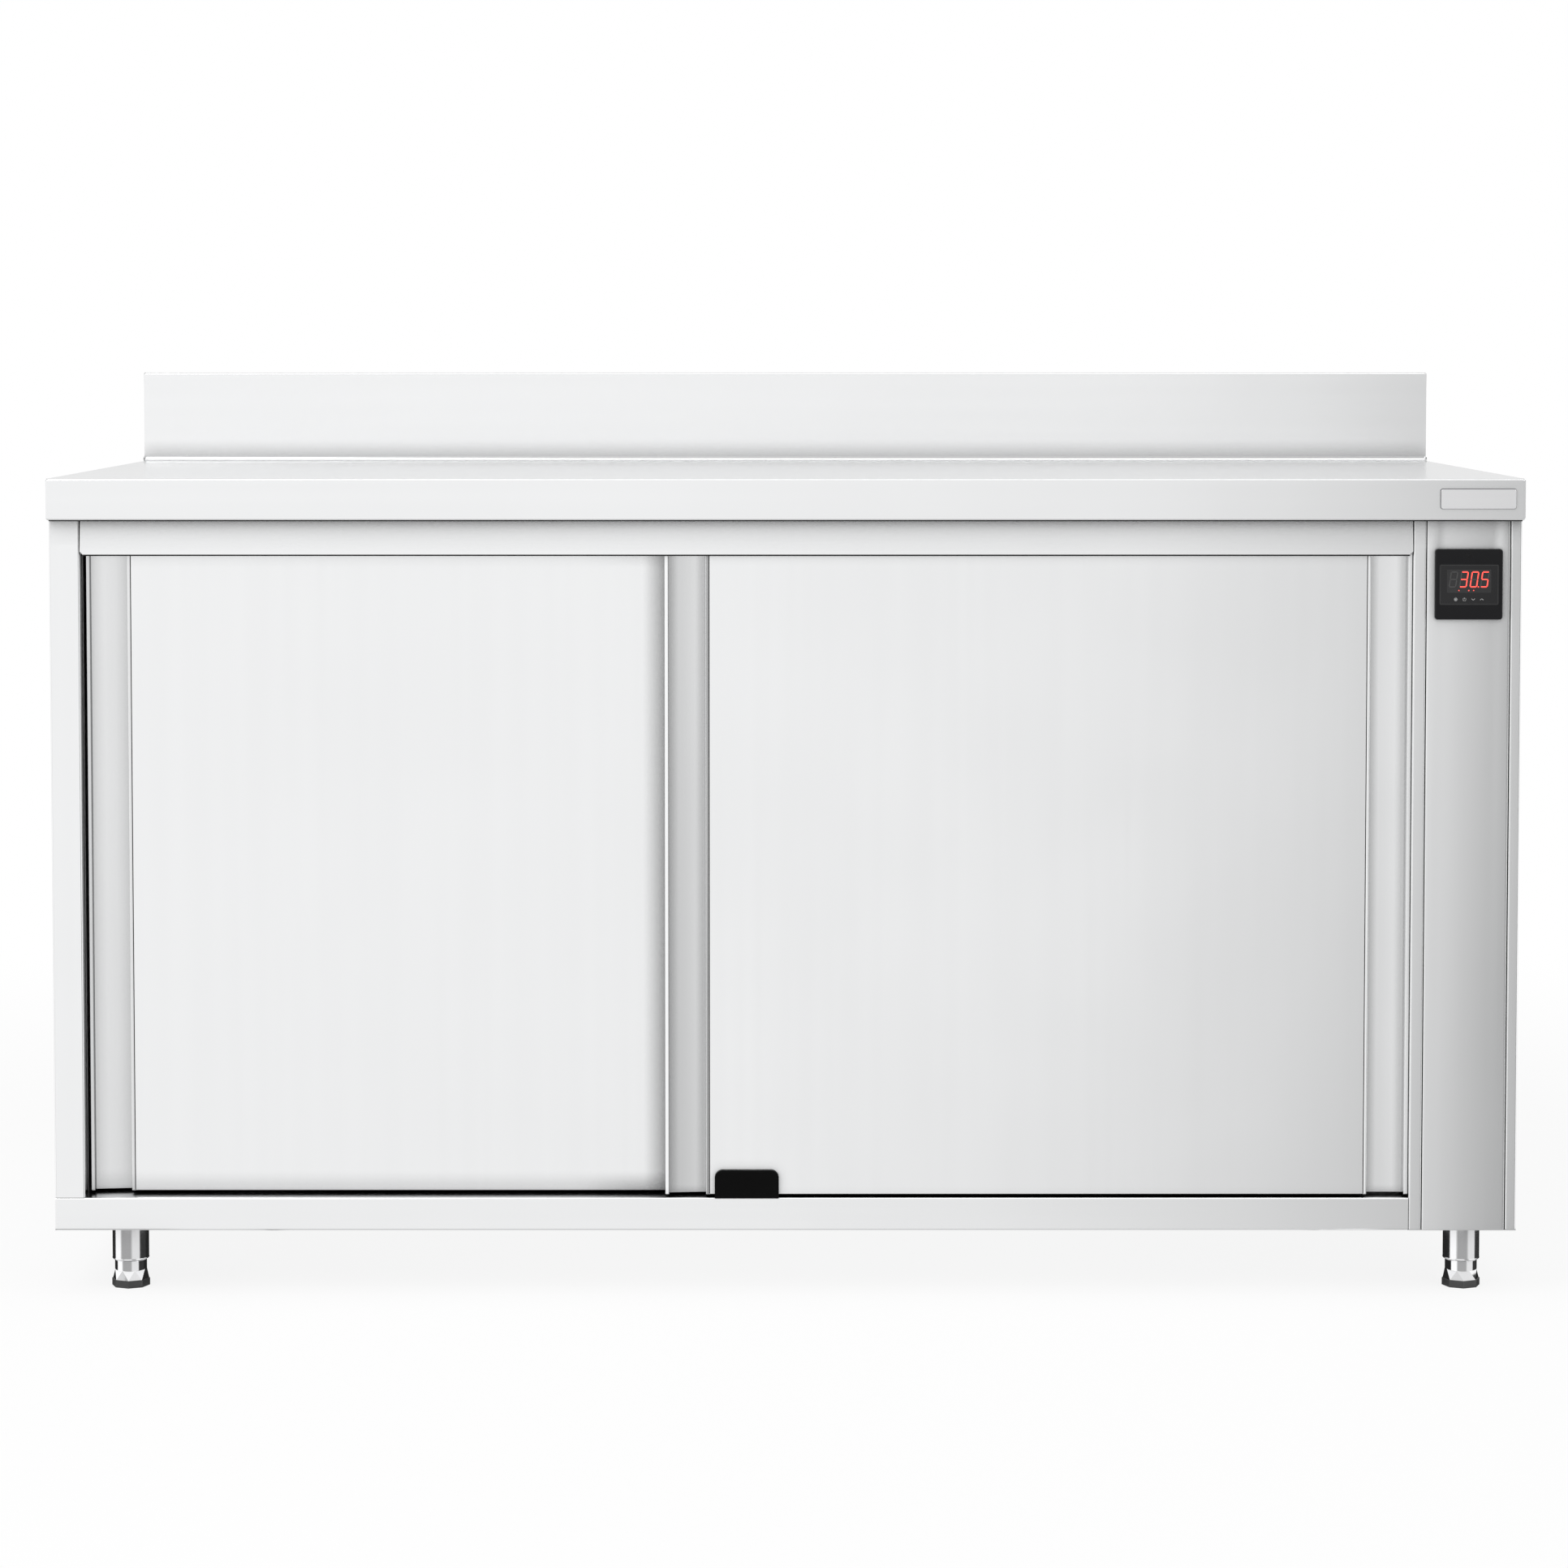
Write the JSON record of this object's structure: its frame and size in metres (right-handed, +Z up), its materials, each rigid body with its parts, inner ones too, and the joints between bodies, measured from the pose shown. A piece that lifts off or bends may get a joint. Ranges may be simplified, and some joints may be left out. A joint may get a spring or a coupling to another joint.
{
  "type": "hot cupboard",
  "caption": "Free-standing stainless hot cupboard with worktop and rear upstand, sliding doors, fan-heated chamber, shelf, controller and adjustable feet.",
  "frame": {"origin": "on the floor, under the middle of the overall box", "axes": "+X to the right seen from the doors, +Y to the back, +Z up"},
  "size_m": [1.6, 0.7, 1.005],
  "materials": {
    "outer_stainless": "brushed, satin",
    "door_stainless": "brushed, satin",
    "inner_stainless": "mill finish",
    "insulation": "mineral wool",
    "door_gear_steel": "zinc plated",
    "rubber": "matt",
    "black_plastic": "moulded, satin",
    "gloss_black": "moulded, glossy",
    "window": "polished",
    "motor_metal": "cast",
    "heater_steel": "heat tinted",
    "terminal_plastic": "moulded",
    "leg_steel": "polished tube",
    "leg_bushing": "moulded",
    "roller_nylon": "turned nylon",
    "fan_aluminium": "pressed sheet",
    "foot_chrome": "plated"
  },
  "bodies": {
    "carcass": {"worktop": "outer_stainless", "left_side_panel": "outer_stainless", "right_side_panel": "outer_stainless", "base_tray": "outer_stainless", "partition_panel": "outer_stainless", "top_fascia": "outer_stainless", "control_panel_front": "outer_stainless", "back_panel": "outer_stainless", "chamber_left_liner": "inner_stainless", "chamber_back_liner": "inner_stainless", "chamber_floor": "inner_stainless", "chamber_ceiling": "inner_stainless", "air_duct_wall": "inner_stainless", "shelf_standards": "inner_stainless", "shelf_clips": "inner_stainless", "worktop_stiffeners": "inner_stainless", "fan_bracket": "inner_stainless", "wall_insulation": "insulation", "door_rails": "door_gear_steel", "door_stops": "rubber", "bottom_door_guide": "black_plastic", "controller_housing": "black_plastic", "cable_gland": "black_plastic", "controller_bezel": "gloss_black", "controller_window": "window", "fan_motor": "motor_metal", "heating_element": "heater_steel", "temperature_probe": "heater_steel", "safety_thermostat": "black_plastic", "terminal_block": "terminal_plastic", "leg_tubes": "leg_steel", "leg_inserts": "leg_bushing"},
    "left_door": {"left_door_outer_skin": "door_stainless", "left_door_inner_skin": "inner_stainless", "left_door_core": "insulation", "left_door_hangers": "door_gear_steel", "left_door_axles": "door_gear_steel"},
    "right_door": {"right_door_outer_skin": "door_stainless", "right_door_inner_skin": "inner_stainless", "right_door_core": "insulation", "right_door_hangers": "door_gear_steel", "right_door_axles": "door_gear_steel"},
    "left_door_left_roller": {"left_door_left_roller": "roller_nylon"},
    "left_door_right_roller": {"left_door_right_roller": "roller_nylon"},
    "right_door_left_roller": {"right_door_left_roller": "roller_nylon"},
    "right_door_right_roller": {"right_door_right_roller": "roller_nylon"},
    "fan": {"fan_impeller": "fan_aluminium", "fan_shaft": "door_gear_steel"},
    "middle_shelf": {"middle_shelf": "inner_stainless"},
    "front_left_foot": {"front_left_foot": "foot_chrome", "front_left_foot_pad": "black_plastic"},
    "front_right_foot": {"front_right_foot": "foot_chrome", "front_right_foot_pad": "black_plastic"},
    "rear_left_foot": {"rear_left_foot": "foot_chrome", "rear_left_foot_pad": "black_plastic"},
    "rear_right_foot": {"rear_right_foot": "foot_chrome", "rear_right_foot_pad": "black_plastic"}
  },
  "joints": [
    {"name": "left_door_slide", "type": "slide", "parent": "carcass", "child": "left_door", "axis": [1, 0, 0], "range_m": [0, 0.631]},
    {"name": "right_door_slide", "type": "slide", "parent": "carcass", "child": "right_door", "axis": [1, 0, 0], "range_m": [-0.631, 0]},
    {"name": "left_door_left_roller_spin", "type": "hinge", "parent": "left_door", "child": "left_door_left_roller", "pos_m": [-0.718, -0.3037, 0.86], "axis": [0, 1, 0], "range_deg": [0, 3806]},
    {"name": "left_door_right_roller_spin", "type": "hinge", "parent": "left_door", "child": "left_door_right_roller", "pos_m": [0.0037, -0.3037, 0.86], "axis": [0, 1, 0], "range_deg": [0, 3806]},
    {"name": "right_door_left_roller_spin", "type": "hinge", "parent": "right_door", "child": "right_door_left_roller", "pos_m": [-0.0865, -0.3247, 0.86], "axis": [0, 1, 0], "range_deg": [-3806, 0]},
    {"name": "right_door_right_roller_spin", "type": "hinge", "parent": "right_door", "child": "right_door_right_roller", "pos_m": [0.6352, -0.3247, 0.86], "axis": [0, 1, 0], "range_deg": [-3806, 0]},
    {"name": "fan_spin", "type": "hinge", "parent": "carcass", "child": "fan", "pos_m": [0.648, 0.01, 0.3], "axis": [1, 0, 0], "continuous": true},
    {"name": "shelf_lift", "type": "slide", "parent": "carcass", "child": "middle_shelf", "axis": [0, 0, 1], "range_m": [0, 0.1]},
    {"name": "front_left_foot_adjust", "type": "slide", "parent": "carcass", "child": "front_left_foot", "axis": [0, 0, 1], "range_m": [-0.025, 0]},
    {"name": "front_right_foot_adjust", "type": "slide", "parent": "carcass", "child": "front_right_foot", "axis": [0, 0, 1], "range_m": [-0.025, 0]},
    {"name": "rear_left_foot_adjust", "type": "slide", "parent": "carcass", "child": "rear_left_foot", "axis": [0, 0, 1], "range_m": [-0.025, 0]},
    {"name": "rear_right_foot_adjust", "type": "slide", "parent": "carcass", "child": "rear_right_foot", "axis": [0, 0, 1], "range_m": [-0.025, 0]}
  ],
  "couplings": [
    {"joint": "left_door_left_roller_spin", "follows": "left_door_slide", "rad_per_m": 105.26},
    {"joint": "left_door_right_roller_spin", "follows": "left_door_slide", "rad_per_m": 105.26},
    {"joint": "right_door_left_roller_spin", "follows": "right_door_slide", "rad_per_m": 105.26},
    {"joint": "right_door_right_roller_spin", "follows": "right_door_slide", "rad_per_m": 105.26}
  ]
}
